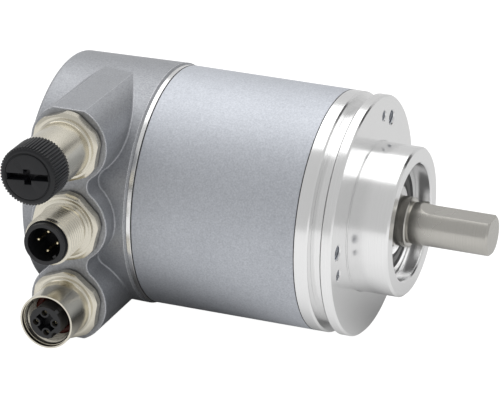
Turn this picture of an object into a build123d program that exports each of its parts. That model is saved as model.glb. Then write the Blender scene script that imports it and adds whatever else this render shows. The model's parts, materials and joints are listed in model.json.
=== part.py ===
from build123d import *
import math
import os

# Absolute rotary encoder, 58 mm class, with a clamping flange, a 10 mm shaft and three M12 ports.
# Frame: the origin is on the shaft axis, in the mounting face of the flange.
# +X runs out along the shaft, the ports look towards -Y, and +Z is up. Millimetres.

# Fits
fit = 0.02
slip = 0.05
play = 0.2

# Flange and sleeve
body_radius = 29.0
edge_break = 0.4
pilot_radius = 18.0
pilot_length = 10.0
pilot_chamfer = 0.5
mouth_chamfer = 0.4
disc_width = 2.8
clamp_groove_width = 3.0
clamp_groove_depth = 2.5
land_width = 3.3
spigot_length = 4.9
sleeve_wall = 2.0
sleeve_length = 40.9
seal_width = 1.6
seal_depth = 1.0

# Tapped holes in the flange
bolt_inset = 5.0
bolt_pitch_radius = body_radius - bolt_inset
bolt_count = 3
large_hole_radius = 1.65
small_hole_radius = 1.25
flange_hole_depth = 7.5
large_hole_angle = 61.0
small_hole_angle = 75.5
large_hole_chamfer = 0.4
small_hole_chamfer = 0.2

# Bearings
bearing_bore = 6.0
bearing_outer = 14.0
bearing_width = 8.0
bearing_recess = 4.0
bearing_spacing = 8.0
bearing_shoulder = 1.4
ball_radius = 2.38
ball_count = 8
raceway_clearance = 0.07
race_gap_inner = 8.3
race_gap_outer = 12.1
seal_plate = 0.5
seal_inset = 0.25
cage_width = 6.0
cage_wall = 1.4
hub_wall = 3.0
clamp_ring_thickness = 1.0
clamp_screw_radius = 0.8
clamp_screw_head = 1.5
clamp_screw_length = 4.0
clamp_screw_count = 3
clamp_screw_angle = 30.0
clamp_head_height = 0.9

# Shaft
shaft_radius = 5.0
shaft_length = 20.0
shaft_chamfer = 0.5
relief_width = 0.45
relief_depth = 0.3
flat_depth = 1.0
flat_start = 2.0
cutter_radius = 6.0
hub_journal = 4.0
rear_journal = 2.5
tail_radius = 1.2
ring_groove_width = 0.9
ring_groove_depth = 0.6
retaining_ring_width = 0.8
retaining_ring_rim = 1.6
retaining_ring_opening = 3.2

# Code disc, lamp and sensor
disc_offset = 5.0
code_disc_radius = 18.5
code_disc_thickness = 1.0
hub_sleeve_radius = 6.0
hub_flange_radius = 8.0
hub_flange_thickness = 1.0
hub_nose = 3.4
hub_tail = 1.5
set_screw_radius = 0.8
track_radius = 16.0
lamp_angle = 240.0
lamp_radius = 1.5
lamp_height = 0.6
carrier_width = 7.0
carrier_foot = 3.2
carrier_arm = 2.8
carrier_toe = 1.0
carrier_gap = 0.9
sensor_gap = 0.4
sensor_width = 6.0
sensor_length = 8.0
chip_height = 0.8

# Stack of boards and plates on the tie rods
rod_inset = 3.8
rod_angles = [60.0, 180.0, 300.0]
rod_seat_depth = 3.0
rod_radius = 1.6
spacer_radius = 2.4
board_thickness = 1.6
plate_thickness = 1.2
cover_thickness = 0.8
stack_margin = 0.9
sensor_board_bore = 9.0
gear_plate_offset = 2.2
main_board_offset = 4.0
package_height = 1.4
processor_size = 10.0
memory_size = (5.0, 6.5)
memory_places = [(13.0, 3.0), (-13.0, -2.0)]
driver_size = (6.0, 5.0)
driver_places = [(10.0, 12.0), (12.0, -9.0), (-11.0, -14.0)]

# Turn counter
gear_module = 0.3
pinion_teeth = 14
wheel_teeth = 56
pressure_angle = 20.0
addendum_share = 0.8
dedendum_share = 1.0
backlash = 0.05
gear_width = 1.0
gear_pitch = 1.5
first_plane_offset = 0.7
stage_count = 3
train_angle = 20.0
train_step = 60.0
turn_sensor_size = 3.0
axle_radius = 0.5
gear_hub_radius = 1.5
magnet_cup_radius = 2.0
magnet_radius = 1.4
magnet_length = 1.2
magnet_gap = 0.8

# Joint plate
joint_rim_width = 1.2
joint_web = 2.4
joint_window = 7.0
front_spigot = 1.5
front_spigot_wall = 0.6
rear_spigot = 3.8
rear_spigot_wall = 1.8
rod_screw_radius = 1.0
rod_screw_head = 1.9
rod_screw_length = 6.0
rod_head_height = 1.2

# Rear housing
drum_length = 27.2
drum_step = 0.4
drum_taper = 0.55
drum_wall = 2.4
drum_back_wall = 3.0
drum_back_round = 1.2
drum_front_chamfer = 0.6
port_setback = 12.45
port_pitch = 20.0
port_reach = 34.0
port_wall = 4.0
boss_radius = 9.65
boss_wall = 2.05
boss_neck_radius = 2.9
boss_flat_inset = 0.05
boss_edge = 0.15
boss_root_round = 0.35
housing_post_gap = 0.75
housing_screw_angles = [0.0, 120.0, 240.0]
housing_screw_radius = 1.5
housing_screw_head = 2.75
housing_screw_head_height = 3.0
housing_screw_socket_depth = 1.6
housing_screw_socket_apothem = 1.25
housing_post_radius = 3.4

# Ports
gasket_thickness = 0.4
gasket_width = 1.1
hex_apothem = 8.1
hex_round_radius = 8.57
hex_thickness = 2.4
hex_chamfer = 0.45
hex_angles = {"upper": 20.0, "middle": 16.0, "lower": 22.0}
thread_shank_radius = 6.4
barrel_radius = 6.6
barrel_foot_radius = 7.1
barrel_foot = 0.4
barrel_lip = 0.15
thread_bore_radius = 5.45
socket_length = 12.9
capped_socket_extra = 1.8
socket_floor = 4.0
mouth_radius = 6.25
mouth_depth = 1.1
plug_thread_radius = 6.0
plug_thread_chamfer = 0.55
plug_undercut = 0.55
plug_undercut_length = 1.0
plug_length = 12.4
plug_bore_radius = 5.4
insert_core_radius = 3.95
insert_seat_radius = 4.3
insert_flange_radius = 5.5
insert_flange_depth = 2.0
insert_tail = 4.0
plug_nose_radius = 5.05
plug_nose_length = 1.55
plug_cavity_radius = 4.13
plug_cavity_depth = 9.0
plug_contact_recess = 2.1
contact_pitch_radius = 2.45
contact_count = 4
core_reach = {"upper": -0.1, "lower": 0.4}
contact_radius = 0.5
contact_tail = 0.9
contact_turn = {"upper": 2.0, "middle": -2.0, "lower": 5.0}
contact_recess = 1.2
contact_mouth_radius = 0.3
contact_mouth_depth = 4.0
sleeve_hole_radius = 0.75
sleeve_collar_radius = 1.15
face_recess = 3.0
key_width = 0.95
key_height = 0.65
key_inset = 0.6
socket_key_height = 0.85
key_angle = -50.0
socket_key_angle = 48.0
socket_notch_angle = -51.0
inner_seal_length = 2.4
inner_seal_round = 0.5

# Dust cap and its seal
cap_radius = 7.12
cap_rib_height = 0.4
cap_rib_count = 56
cap_gap = 0.3
cap_length = 7.9
cap_face_ring_radius = 5.8
cap_face_ring_width = 0.5
cap_face_step = 0.4
cap_slot_length = 10.2
cap_slot_width = 1.55
cap_slot_depth = 2.4
cap_cross_length = 3.6
cap_cross_width = 1.75
cap_slot_angle = 5.5
cap_plug_radius = 5.3
cap_plug_wall = 0.8
cap_plug_length = 8.0
cap_seal_section = 0.42
cap_seal_space = 0.2

# Boards in the rear housing
interface_screw_radius = 1.0
interface_places = [(9.0, 16.0), (9.0, -16.0), (-10.0, 0.0)]
standoff_radius = 2.1
interface_offset = 3.8
interface_gap = 1.15
interface_cut = 15.0
port_board_depth = 18.0
port_board_width = 11.6
port_board_height = 48.4
header_height = 2.5
header_length = 12.0
header_root = 2.0
switch_size = 9.0
switch_place = (5.0, 0.0)
phy_size = 6.0
phy_places = [(14.0, 9.0), (14.0, -9.0)]
transformer_size = (6.0, 10.0)
transformer_places = [(-4.0, 8.5), (-4.0, -8.5)]
transformer_height = 5.5

# Places that follow from the sizes
flange_back = -(disc_width + clamp_groove_width + land_width)
spigot_back = flange_back - spigot_length
sleeve_back = flange_back - sleeve_length
sleeve_inner = body_radius - sleeve_wall
front_bearing = pilot_length - bearing_recess
rear_bearing = front_bearing - bearing_width - bearing_spacing
hub_back = rear_bearing - bearing_width
hub_radius = bearing_outer + hub_wall
clamp_screw_circle = bearing_outer + hub_wall / 2
ball_pitch = (bearing_bore + bearing_outer) / 2
disc_front = hub_back - disc_offset
disc_back = disc_front - code_disc_thickness
sensor_board_front = disc_back - sensor_gap - chip_height
sensor_board_back = sensor_board_front - board_thickness
base_plate_front = sensor_board_back - gear_plate_offset
base_plate_back = base_plate_front - plate_thickness
wheel_radius = gear_module * wheel_teeth / 2
pinion_radius = gear_module * pinion_teeth / 2
axle_distance = wheel_radius + pinion_radius
gear_planes = [base_plate_back - first_plane_offset - gear_pitch * n for n in range(stage_count)]
last_gear_back = gear_planes[-1] - gear_width
cover_plate_front = last_gear_back - gear_pitch + slip
cover_plate_back = cover_plate_front - cover_thickness
magnet_back = cover_plate_back - magnet_gap
multiturn_front = magnet_back - magnet_gap - chip_height
multiturn_back = multiturn_front - board_thickness
main_board_front = multiturn_back - main_board_offset
main_board_back = main_board_front - board_thickness
stack_radius = sleeve_inner - stack_margin
rod_circle_radius = sleeve_inner - rod_inset
joint_rim_back = sleeve_back - joint_rim_width
joint_web_back = sleeve_back - joint_web
drum_front_radius = body_radius + drum_step
drum_back_radius = drum_front_radius - drum_taper
boss_flat_height = drum_back_radius - boss_flat_inset
joint_spigot_radius = drum_front_radius - drum_wall - slip
joint_spigot_inner = joint_spigot_radius - rear_spigot_wall
housing_screw_circle = joint_spigot_inner - housing_post_gap - housing_post_radius
interface_radius = joint_spigot_inner - interface_gap
joint_seal_middle = joint_rim_back - rear_spigot / 2
drum_back = joint_rim_back - drum_length
drum_floor = drum_back + drum_back_wall
port_x = joint_rim_back - port_setback
port_heights = {"upper": port_pitch, "middle": 0.0, "lower": -port_pitch}
interface_front = joint_web_back - interface_offset
interface_back = interface_front - board_thickness
seat = port_reach + gasket_thickness
hex_front = seat + hex_thickness
housing_bore = thread_shank_radius + 2 * slip
contact_end = port_board_depth - board_thickness - contact_tail
stage_angles = [train_angle + train_step * n for n in range(stage_count)]
pinion_angles = [angle + 90.0 + train_step / 2 for angle in stage_angles]

os.makedirs("parts", exist_ok=True)


# Helpers: planes, turned pieces and saving

def across(x):
    """Plane square to the shaft at x, with local x along +Y and local y along +Z."""
    return Plane(origin=(x, 0, 0), x_dir=(0, 1, 0), z_dir=(1, 0, 0))


def polar(radius, degrees):
    """Point (y, z) on a circle about the shaft."""
    turn = math.radians(degrees)
    return (radius * math.cos(turn), radius * math.sin(turn))


def port_side(height):
    """Plane through a port's axis: local x runs outwards along -Y, local y along +X."""
    return Plane(origin=(port_x, 0, height), x_dir=(0, -1, 0), z_dir=(0, 0, 1))


def port_front(height, reach):
    """Plane square to a port's axis, that far from the shaft, facing outwards."""
    return Plane(origin=(port_x, -reach, height), x_dir=(1, 0, 0), z_dir=(0, -1, 0))


def port_axis(height):
    return Axis((port_x, 0, height), (0, -1, 0))


def save(piece, name):
    piece.part.label = name
    export_step(piece.part, "parts/" + name + ".step")


def turned(points):
    """Solid of revolution about the shaft, from (x, radius) points."""
    with BuildPart() as piece:
        with BuildSketch(Plane.XY):
            with BuildLine():
                Polyline(*points, close=True)
            make_face()
        revolve(axis=Axis.X)
    return piece


def ring(front, back, outer, inner):
    """Plain ring about the shaft between two x places."""
    return turned([(front, inner), (front, outer), (back, outer), (back, inner)])


# Mounting flange: pilot collar, front disc, clamp groove, rear land, spigot and bearing hub

def make_mounting_flange():
    groove_floor = body_radius - clamp_groove_depth
    spigot_radius = sleeve_inner - slip
    bore = bearing_outer + fit
    shoulder = bearing_outer - bearing_shoulder
    profile = [
        (pilot_length, bore + mouth_chamfer),
        (pilot_length, pilot_radius - pilot_chamfer),
        (pilot_length - pilot_chamfer, pilot_radius),
        (0, pilot_radius),
        (0, body_radius - edge_break),
        (-edge_break, body_radius),
        (edge_break - disc_width, body_radius),
        (-disc_width, body_radius - edge_break),
        (-disc_width, groove_floor),
        (-disc_width - clamp_groove_width, groove_floor),
        (-disc_width - clamp_groove_width, body_radius - edge_break),
        (-disc_width - clamp_groove_width - edge_break, body_radius),
        (flange_back, body_radius),
        (flange_back, spigot_radius),
        (spigot_back, spigot_radius),
        (spigot_back, hub_radius),
        (hub_back, hub_radius),
        (hub_back, bore),
        (rear_bearing, bore),
        (rear_bearing, shoulder),
        (front_bearing - bearing_width, shoulder),
        (front_bearing - bearing_width, bore),
        (pilot_length - mouth_chamfer, bore),
    ]
    seal_middle = (flange_back + spigot_back) / 2
    with BuildPart() as flange:
        with BuildSketch(Plane.XY):
            with BuildLine():
                Polyline(*profile, close=True)
            make_face()
            with Locations((seal_middle, spigot_radius - seal_depth / 2)):
                Rectangle(seal_width, seal_depth, mode=Mode.SUBTRACT)
        revolve(axis=Axis.X)
        with BuildSketch(across(0)):
            with PolarLocations(bolt_pitch_radius, bolt_count, start_angle=large_hole_angle):
                Circle(large_hole_radius)
            with PolarLocations(bolt_pitch_radius, bolt_count, start_angle=small_hole_angle):
                Circle(small_hole_radius)
        extrude(amount=-flange_hole_depth, mode=Mode.SUBTRACT)
        mouths = flange.edges().filter_by(GeomType.CIRCLE).filter_by_position(Axis.X, -fit, fit)
        chamfer(mouths.filter_by(lambda edge: edge.radius < small_hole_radius + fit), small_hole_chamfer)
        mouths = flange.edges().filter_by(GeomType.CIRCLE).filter_by_position(Axis.X, -fit, fit)
        chamfer(mouths.filter_by(lambda edge: abs(edge.radius - large_hole_radius) < fit), large_hole_chamfer)
        with BuildSketch(across(spigot_back)):
            for angle in rod_angles:
                with Locations(polar(rod_circle_radius, angle)):
                    Circle(rod_radius + slip)
        extrude(amount=rod_seat_depth, mode=Mode.SUBTRACT)
        with BuildSketch(across(hub_back)):
            with PolarLocations(clamp_screw_circle, clamp_screw_count, start_angle=clamp_screw_angle):
                Circle(clamp_screw_radius + slip)
        extrude(amount=clamp_screw_length, mode=Mode.SUBTRACT)
    save(flange, "mounting_flange")


make_mounting_flange()


# Sleeve, and the sealing ring in the flange's spigot

sleeve = turned([
    (flange_back, sleeve_inner),
    (flange_back, body_radius - edge_break / 2),
    (flange_back - edge_break / 2, body_radius),
    (sleeve_back + edge_break / 2, body_radius),
    (sleeve_back, body_radius - edge_break / 2),
    (sleeve_back, sleeve_inner),
])
save(sleeve, "housing_sleeve")


def sealing_ring(middle, outer, depth, width):
    """O-ring that fills its groove, as a ring with rounded edges."""
    with BuildPart() as piece:
        with BuildSketch(Plane.XY):
            with Locations((middle, outer - depth / 2)):
                RectangleRounded(width - 2 * slip, depth - 2 * slip, depth / 3)
        revolve(axis=Axis.X)
    return piece


with BuildPart() as housing_seals:
    add(sealing_ring((flange_back + spigot_back) / 2, sleeve_inner - slip, seal_depth, seal_width).part)
    add(sealing_ring(joint_seal_middle, joint_spigot_radius, seal_depth, seal_width).part)
save(housing_seals, "housing_seal_rings")


# Ball bearings: rings, balls, cages and side seals

def raceway_ring(middle, seat, land):
    """Bearing ring with chamfered seat edges and a ball groove in its other face."""
    half = bearing_width / 2
    step = math.copysign(edge_break, land - seat)
    with BuildPart() as piece:
        with BuildSketch(Plane.XY):
            with BuildLine():
                Polyline(
                    (middle + half, land),
                    (middle + half, seat + step),
                    (middle + half - edge_break, seat),
                    (middle - half + edge_break, seat),
                    (middle - half, seat + step),
                    (middle - half, land),
                    close=True,
                )
            make_face()
            with Locations((middle, ball_pitch)):
                Circle(ball_radius + raceway_clearance, mode=Mode.SUBTRACT)
        revolve(axis=Axis.X)
    return piece


def ball_set(middle):
    with BuildPart() as piece:
        with Locations(across(middle)):
            with PolarLocations(ball_pitch, ball_count):
                Sphere(ball_radius)
    return piece


def ball_cage(middle):
    with BuildPart() as piece:
        with BuildSketch(across(middle - cage_width / 2)):
            Circle(ball_pitch + cage_wall / 2)
            Circle(ball_pitch - cage_wall / 2, mode=Mode.SUBTRACT)
        extrude(amount=cage_width)
        with Locations(across(middle)):
            with PolarLocations(ball_pitch, ball_count):
                Cylinder(ball_radius + slip, 4 * cage_wall, rotation=(0, 90, 0), mode=Mode.SUBTRACT)
    return piece


bearing_middles = {"front": front_bearing - bearing_width / 2, "rear": rear_bearing - bearing_width / 2}
for name, middle in bearing_middles.items():
    save(ball_set(middle), name + "_bearing_balls")
    save(ball_cage(middle), name + "_bearing_cage")

with BuildPart() as outer_rings:
    for middle in bearing_middles.values():
        add(raceway_ring(middle, bearing_outer, race_gap_outer).part)
save(outer_rings, "bearing_outer_rings")

with BuildPart() as inner_rings:
    for middle in bearing_middles.values():
        add(raceway_ring(middle, bearing_bore + fit, race_gap_inner).part)
save(inner_rings, "bearing_inner_rings")

with BuildPart() as bearing_seals:
    for front in (front_bearing, rear_bearing):
        for outside in (front - seal_inset - seal_plate, front - bearing_width + seal_inset):
            with BuildSketch(across(outside)):
                Circle(race_gap_outer - slip)
                Circle(race_gap_inner + slip, mode=Mode.SUBTRACT)
            extrude(amount=seal_plate)
save(bearing_seals, "bearing_seals")


# Ring that holds the rear bearing in the flange, and its screws

with BuildPart() as clamp_ring:
    with BuildSketch(across(hub_back - clamp_ring_thickness)):
        Circle(hub_radius)
        Circle(race_gap_outer, mode=Mode.SUBTRACT)
        with PolarLocations(clamp_screw_circle, clamp_screw_count, start_angle=clamp_screw_angle):
            Circle(clamp_screw_radius + slip, mode=Mode.SUBTRACT)
    extrude(amount=clamp_ring_thickness)
save(clamp_ring, "bearing_clamp_ring")

with BuildPart() as clamp_screws:
    with BuildSketch(across(hub_back - clamp_ring_thickness - clamp_head_height)):
        with PolarLocations(clamp_screw_circle, clamp_screw_count, start_angle=clamp_screw_angle):
            Circle(clamp_screw_head)
    extrude(amount=clamp_head_height)
    with BuildSketch(across(hub_back - clamp_ring_thickness)):
        with PolarLocations(clamp_screw_circle, clamp_screw_count, start_angle=clamp_screw_angle):
            Circle(clamp_screw_radius)
    extrude(amount=clamp_ring_thickness + clamp_screw_length - play)
save(clamp_screws, "bearing_clamp_screws")


# Shaft: 10 mm end with a flat, 12 mm journals, retaining ring groove and the stepped rear end

def make_shaft():
    tip = pilot_length + shaft_length
    journal_back = hub_back - ring_groove_width - edge_break
    hub_end = disc_back - hub_flange_thickness - hub_tail
    tail_start = gear_planes[0] + play
    tail_end = gear_planes[0] - gear_width - play
    groove_radius = bearing_bore - ring_groove_depth
    profile = [
        (tip, 0),
        (tip, shaft_radius - shaft_chamfer),
        (tip - shaft_chamfer, shaft_radius),
        (pilot_length + relief_width, shaft_radius),
        (pilot_length + relief_width, shaft_radius - relief_depth),
        (pilot_length, shaft_radius - relief_depth),
        (pilot_length, bearing_bore - relief_depth),
        (pilot_length - relief_depth, bearing_bore),
        (hub_back, bearing_bore),
        (hub_back, groove_radius),
        (hub_back - ring_groove_width, groove_radius),
        (hub_back - ring_groove_width, bearing_bore),
        (journal_back, bearing_bore),
        (journal_back, hub_journal),
        (hub_end, hub_journal),
        (hub_end, rear_journal),
        (tail_start, rear_journal),
        (tail_start, tail_radius),
        (tail_end, tail_radius),
        (tail_end, 0),
    ]
    flat_height = shaft_radius - flat_depth
    runout = math.sqrt(cutter_radius ** 2 - (cutter_radius - flat_depth) ** 2)
    start = pilot_length + flat_start
    with BuildPart() as shaft:
        with BuildSketch(Plane.XY):
            with BuildLine():
                Polyline(*profile, close=True)
            make_face()
        revolve(axis=Axis.X)
        with BuildSketch(Plane.XZ.offset(-shaft_radius)):
            with BuildLine():
                Line((start, shaft_radius), (tip + shaft_chamfer, shaft_radius))
                Line((tip + shaft_chamfer, shaft_radius), (tip + shaft_chamfer, flat_height))
                Line((tip + shaft_chamfer, flat_height), (start + runout, flat_height))
                RadiusArc((start + runout, flat_height), (start, shaft_radius), cutter_radius)
            make_face()
        extrude(amount=2 * shaft_radius, mode=Mode.SUBTRACT)
    save(shaft, "shaft")


make_shaft()

spacer_front = front_bearing - bearing_width - fit
spacer = ring(spacer_front, rear_bearing + fit, race_gap_inner - play, bearing_bore + fit)
save(spacer, "bearing_spacer")

with BuildPart() as retaining_ring:
    with BuildSketch(across(hub_back - ring_groove_width + fit)):
        Circle(bearing_bore + retaining_ring_rim)
        Circle(bearing_bore - ring_groove_depth + fit, mode=Mode.SUBTRACT)
        with Locations((bearing_bore, 0)):
            Rectangle(3 * retaining_ring_rim, retaining_ring_opening, mode=Mode.SUBTRACT)
    extrude(amount=retaining_ring_width)
save(retaining_ring, "shaft_retaining_ring")


# Code disc on its hub, with two set screws

hub_front = disc_front + hub_nose
hub_back_end = disc_back - hub_flange_thickness
set_screw_x = (hub_front + disc_front) / 2

with BuildPart() as disc_hub:
    with BuildSketch(Plane.XY):
        with BuildLine():
            Polyline(
                (hub_front, hub_journal + fit),
                (hub_front, hub_sleeve_radius),
                (disc_back, hub_sleeve_radius),
                (disc_back, hub_flange_radius),
                (hub_back_end, hub_flange_radius),
                (hub_back_end, hub_journal + fit),
                close=True,
            )
        make_face()
    revolve(axis=Axis.X)
    with BuildSketch(Plane.XY):
        with Locations((set_screw_x, 0)):
            Circle(set_screw_radius + fit)
    extrude(amount=hub_sleeve_radius + play, both=True, mode=Mode.SUBTRACT)
save(disc_hub, "disc_hub")

with BuildPart() as hub_screws:
    for side in (1, -1):
        with BuildSketch(Plane.XY.offset(side * (hub_journal + fit))):
            with Locations((set_screw_x, 0)):
                Circle(set_screw_radius)
        extrude(amount=side * (hub_sleeve_radius - hub_journal - play))
save(hub_screws, "hub_set_screws")

save(ring(disc_front, disc_back + fit, code_disc_radius, hub_sleeve_radius + fit), "code_disc")


# Lamp above the disc's track, on an angle carrier that stands on the flange's spigot

carrier_back = disc_front + carrier_gap
carrier_outer = hub_radius + play + carrier_foot

with BuildPart() as carrier:
    with BuildSketch(Plane.XY):
        with BuildLine():
            Polyline(
                (spigot_back, carrier_outer - carrier_foot),
                (spigot_back, carrier_outer),
                (carrier_back, carrier_outer),
                (carrier_back, track_radius - lamp_radius - carrier_toe),
                (carrier_back + carrier_arm, track_radius - lamp_radius - carrier_toe),
                (carrier_back + carrier_arm, carrier_outer - carrier_foot),
                close=True,
            )
        make_face()
    extrude(amount=carrier_width / 2, both=True)
    with BuildSketch(across(carrier_back)):
        with Locations((track_radius, 0)):
            Circle(lamp_radius + slip)
    extrude(amount=lamp_height, mode=Mode.SUBTRACT)
carrier.part = carrier.part.rotate(Axis.X, lamp_angle)
save(carrier, "lamp_carrier")

with BuildPart() as lamp:
    with BuildSketch(across(carrier_back - carrier_gap / 2)):
        with Locations(polar(track_radius, lamp_angle)):
            Circle(lamp_radius)
    extrude(amount=lamp_height + carrier_gap / 2 - slip)
save(lamp, "lamp")


# Boards and plates of the stack, each with holes for the three tie rods

def rod_holes():
    for angle in rod_angles:
        with Locations(polar(rod_circle_radius, angle)):
            Circle(rod_radius + slip, mode=Mode.SUBTRACT)


def stack_plate(back, thickness, bore, holes=()):
    """Round plate on the tie rods, with a bore and extra (y, z, radius) holes."""
    with BuildPart() as piece:
        with BuildSketch(across(back)):
            Circle(stack_radius)
            if bore > 0:
                Circle(bore, mode=Mode.SUBTRACT)
            rod_holes()
            for y, z, radius in holes:
                with Locations((y, z)):
                    Circle(radius, mode=Mode.SUBTRACT)
        extrude(amount=thickness)
    return piece


axle_places = [polar(axle_distance, angle) for angle in stage_angles]
axle_holes = [(y, z, axle_radius + fit) for y, z in axle_places]
cup_holes = [(y, z, magnet_cup_radius + 2 * slip) for y, z in axle_places]

save(stack_plate(sensor_board_back, board_thickness, sensor_board_bore), "sensor_board")
save(stack_plate(base_plate_back, plate_thickness, rear_journal + 2 * play, axle_holes), "gear_base_plate")
save(stack_plate(cover_plate_back, cover_thickness, 0, cup_holes), "gear_cover_plate")
save(stack_plate(multiturn_back, board_thickness, 0), "multiturn_board")
save(stack_plate(main_board_back, board_thickness, 0), "main_board")

with BuildPart() as sensor_chip:
    with BuildSketch(across(sensor_board_front)):
        with Locations(Location(polar(track_radius, lamp_angle), lamp_angle)):
            Rectangle(sensor_width, sensor_length)
    extrude(amount=chip_height)
save(sensor_chip, "sensor_chip")

with BuildPart() as turn_sensors:
    with BuildSketch(across(multiturn_front)):
        with Locations(*axle_places):
            Rectangle(turn_sensor_size, turn_sensor_size)
    extrude(amount=chip_height)
save(turn_sensors, "turn_sensors")

with BuildPart() as main_chips:
    with BuildSketch(across(main_board_front)):
        Rectangle(processor_size, processor_size)
        with Locations(*memory_places):
            Rectangle(*memory_size)
    extrude(amount=package_height)
    with BuildSketch(across(main_board_back)):
        with Locations(*driver_places):
            Rectangle(*driver_size)
    extrude(amount=-package_height)
save(main_chips, "main_board_chips")

with BuildPart() as tie_rods:
    with BuildSketch(across(sleeve_back + slip)):
        for angle in rod_angles:
            with Locations(polar(rod_circle_radius, angle)):
                Circle(rod_radius)
    extrude(amount=spigot_back + rod_seat_depth - play - sleeve_back - slip)
    with BuildSketch(across(sleeve_back + slip)):
        for angle in rod_angles:
            with Locations(polar(rod_circle_radius, angle)):
                Circle(rod_screw_radius + slip)
    extrude(amount=rod_screw_length, mode=Mode.SUBTRACT)
save(tie_rods, "tie_rods")

stack_faces = [
    (spigot_back, sensor_board_front),
    (sensor_board_back, base_plate_front),
    (base_plate_back, cover_plate_front),
    (cover_plate_back, multiturn_front),
    (multiturn_back, main_board_front),
    (main_board_back, sleeve_back),
]
with BuildPart() as spacers:
    for front, back in stack_faces:
        with BuildSketch(across(back)):
            for angle in rod_angles:
                with Locations(polar(rod_circle_radius, angle)):
                    Circle(spacer_radius)
                    Circle(rod_radius + slip, mode=Mode.SUBTRACT)
        extrude(amount=front - back)
    with BuildSketch(across(interface_front)):
        with Locations(*interface_places):
            Circle(standoff_radius)
            Circle(interface_screw_radius + slip, mode=Mode.SUBTRACT)
    extrude(amount=interface_offset)
save(spacers, "board_spacers")


# Turn counter: three equal stages of 14 to 56 teeth about the shaft, each one plane behind the last

def tooth_outline(teeth):
    """Points round a spur gear whose first tooth points along local x, with involute flanks."""
    pitch_radius = gear_module * teeth / 2
    base_radius = pitch_radius * math.cos(math.radians(pressure_angle))
    tip_radius = pitch_radius + addendum_share * gear_module
    root_radius = pitch_radius - dedendum_share * gear_module

    def half_angle(radius):
        local = math.acos(min(1.0, base_radius / radius))
        pitch_local = math.radians(pressure_angle)
        pitch_half = math.pi / (2 * teeth) - backlash / (2 * pitch_radius)
        return pitch_half + math.tan(pitch_local) - pitch_local - math.tan(local) + local

    low = max(base_radius, root_radius)
    flank = [low, (low + tip_radius) / 2, tip_radius]
    points = []
    for tooth in range(teeth):
        centre = 2 * math.pi * tooth / teeth
        rising = [(root_radius, -half_angle(low))] + [(r, -half_angle(r)) for r in flank]
        falling = [(r, half_angle(r)) for r in reversed(flank)] + [(root_radius, half_angle(low))]
        if root_radius >= base_radius:
            rising = rising[1:]
            falling = falling[:-1]
        for radius, turn in rising + falling:
            points.append((radius * math.cos(centre + turn), radius * math.sin(centre + turn)))
    return points


def gear_sketch(teeth, place, tooth_angle):
    """Gear outline at a (y, z) place, with one tooth pointing along tooth_angle."""
    with Locations(Location((place[0], place[1], 0), (0, 0, tooth_angle))):
        Polygon(*tooth_outline(teeth), align=None)


def make_gear(stage):
    """Compound gear: hub, large wheel, small pinion for the next stage, and the magnet's cup."""
    place = axle_places[stage]
    wheel_plane = gear_planes[stage]
    driver_angle = stage_angles[0] if stage == 0 else pinion_angles[stage - 1]
    wheel_tooth = driver_angle + 180.0 + 180.0 / wheel_teeth
    has_pinion = stage < stage_count - 1
    with BuildPart() as gear:
        with BuildSketch(across(wheel_plane)):
            gear_sketch(wheel_teeth, place, wheel_tooth)
        extrude(amount=-gear_width)
        with BuildSketch(across(base_plate_back - play)):
            with Locations(place):
                Circle(gear_hub_radius)
        extrude(amount=wheel_plane - base_plate_back + play)
        if has_pinion:
            with BuildSketch(across(gear_planes[stage + 1] - gear_width)):
                gear_sketch(pinion_teeth, place, pinion_angles[stage])
            extrude(amount=gear_width)
        with BuildSketch(across(wheel_plane - gear_width)):
            with Locations(place):
                Circle(gear_hub_radius)
        extrude(amount=-(wheel_plane - gear_width - cover_plate_front))
        with BuildSketch(across(cover_plate_front + slip)):
            with Locations(place):
                Circle(magnet_cup_radius)
        extrude(amount=-(cover_plate_front + slip - magnet_back))
        with BuildSketch(across(base_plate_back)):
            with Locations(place):
                Circle(axle_radius + slip)
        extrude(amount=-(base_plate_back - last_gear_back + play), mode=Mode.SUBTRACT)
        with BuildSketch(across(magnet_back)):
            with Locations(place):
                Circle(magnet_radius + fit)
        extrude(amount=magnet_length, mode=Mode.SUBTRACT)
    with BuildPart() as magnet:
        with BuildSketch(across(magnet_back)):
            with Locations(place):
                Circle(magnet_radius)
        extrude(amount=magnet_length - fit)
    return gear, magnet


for stage, name in enumerate(("first", "second", "third")):
    gear, magnet = make_gear(stage)
    save(gear, name + "_gear")
    save(magnet, name + "_gear_magnet")

with BuildPart() as shaft_pinion:
    with BuildSketch(across(gear_planes[0] - gear_width)):
        gear_sketch(pinion_teeth, (0, 0), stage_angles[0])
        Circle(tail_radius + fit, mode=Mode.SUBTRACT)
    extrude(amount=gear_width)
save(shaft_pinion, "shaft_pinion")

with BuildPart() as axles:
    with BuildSketch(across(last_gear_back)):
        with Locations(*axle_places):
            Circle(axle_radius)
    extrude(amount=base_plate_front - last_gear_back)
save(axles, "gear_axles")


# Joint plate: the bright ring between sleeve and rear housing, with its web and two spigots

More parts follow.
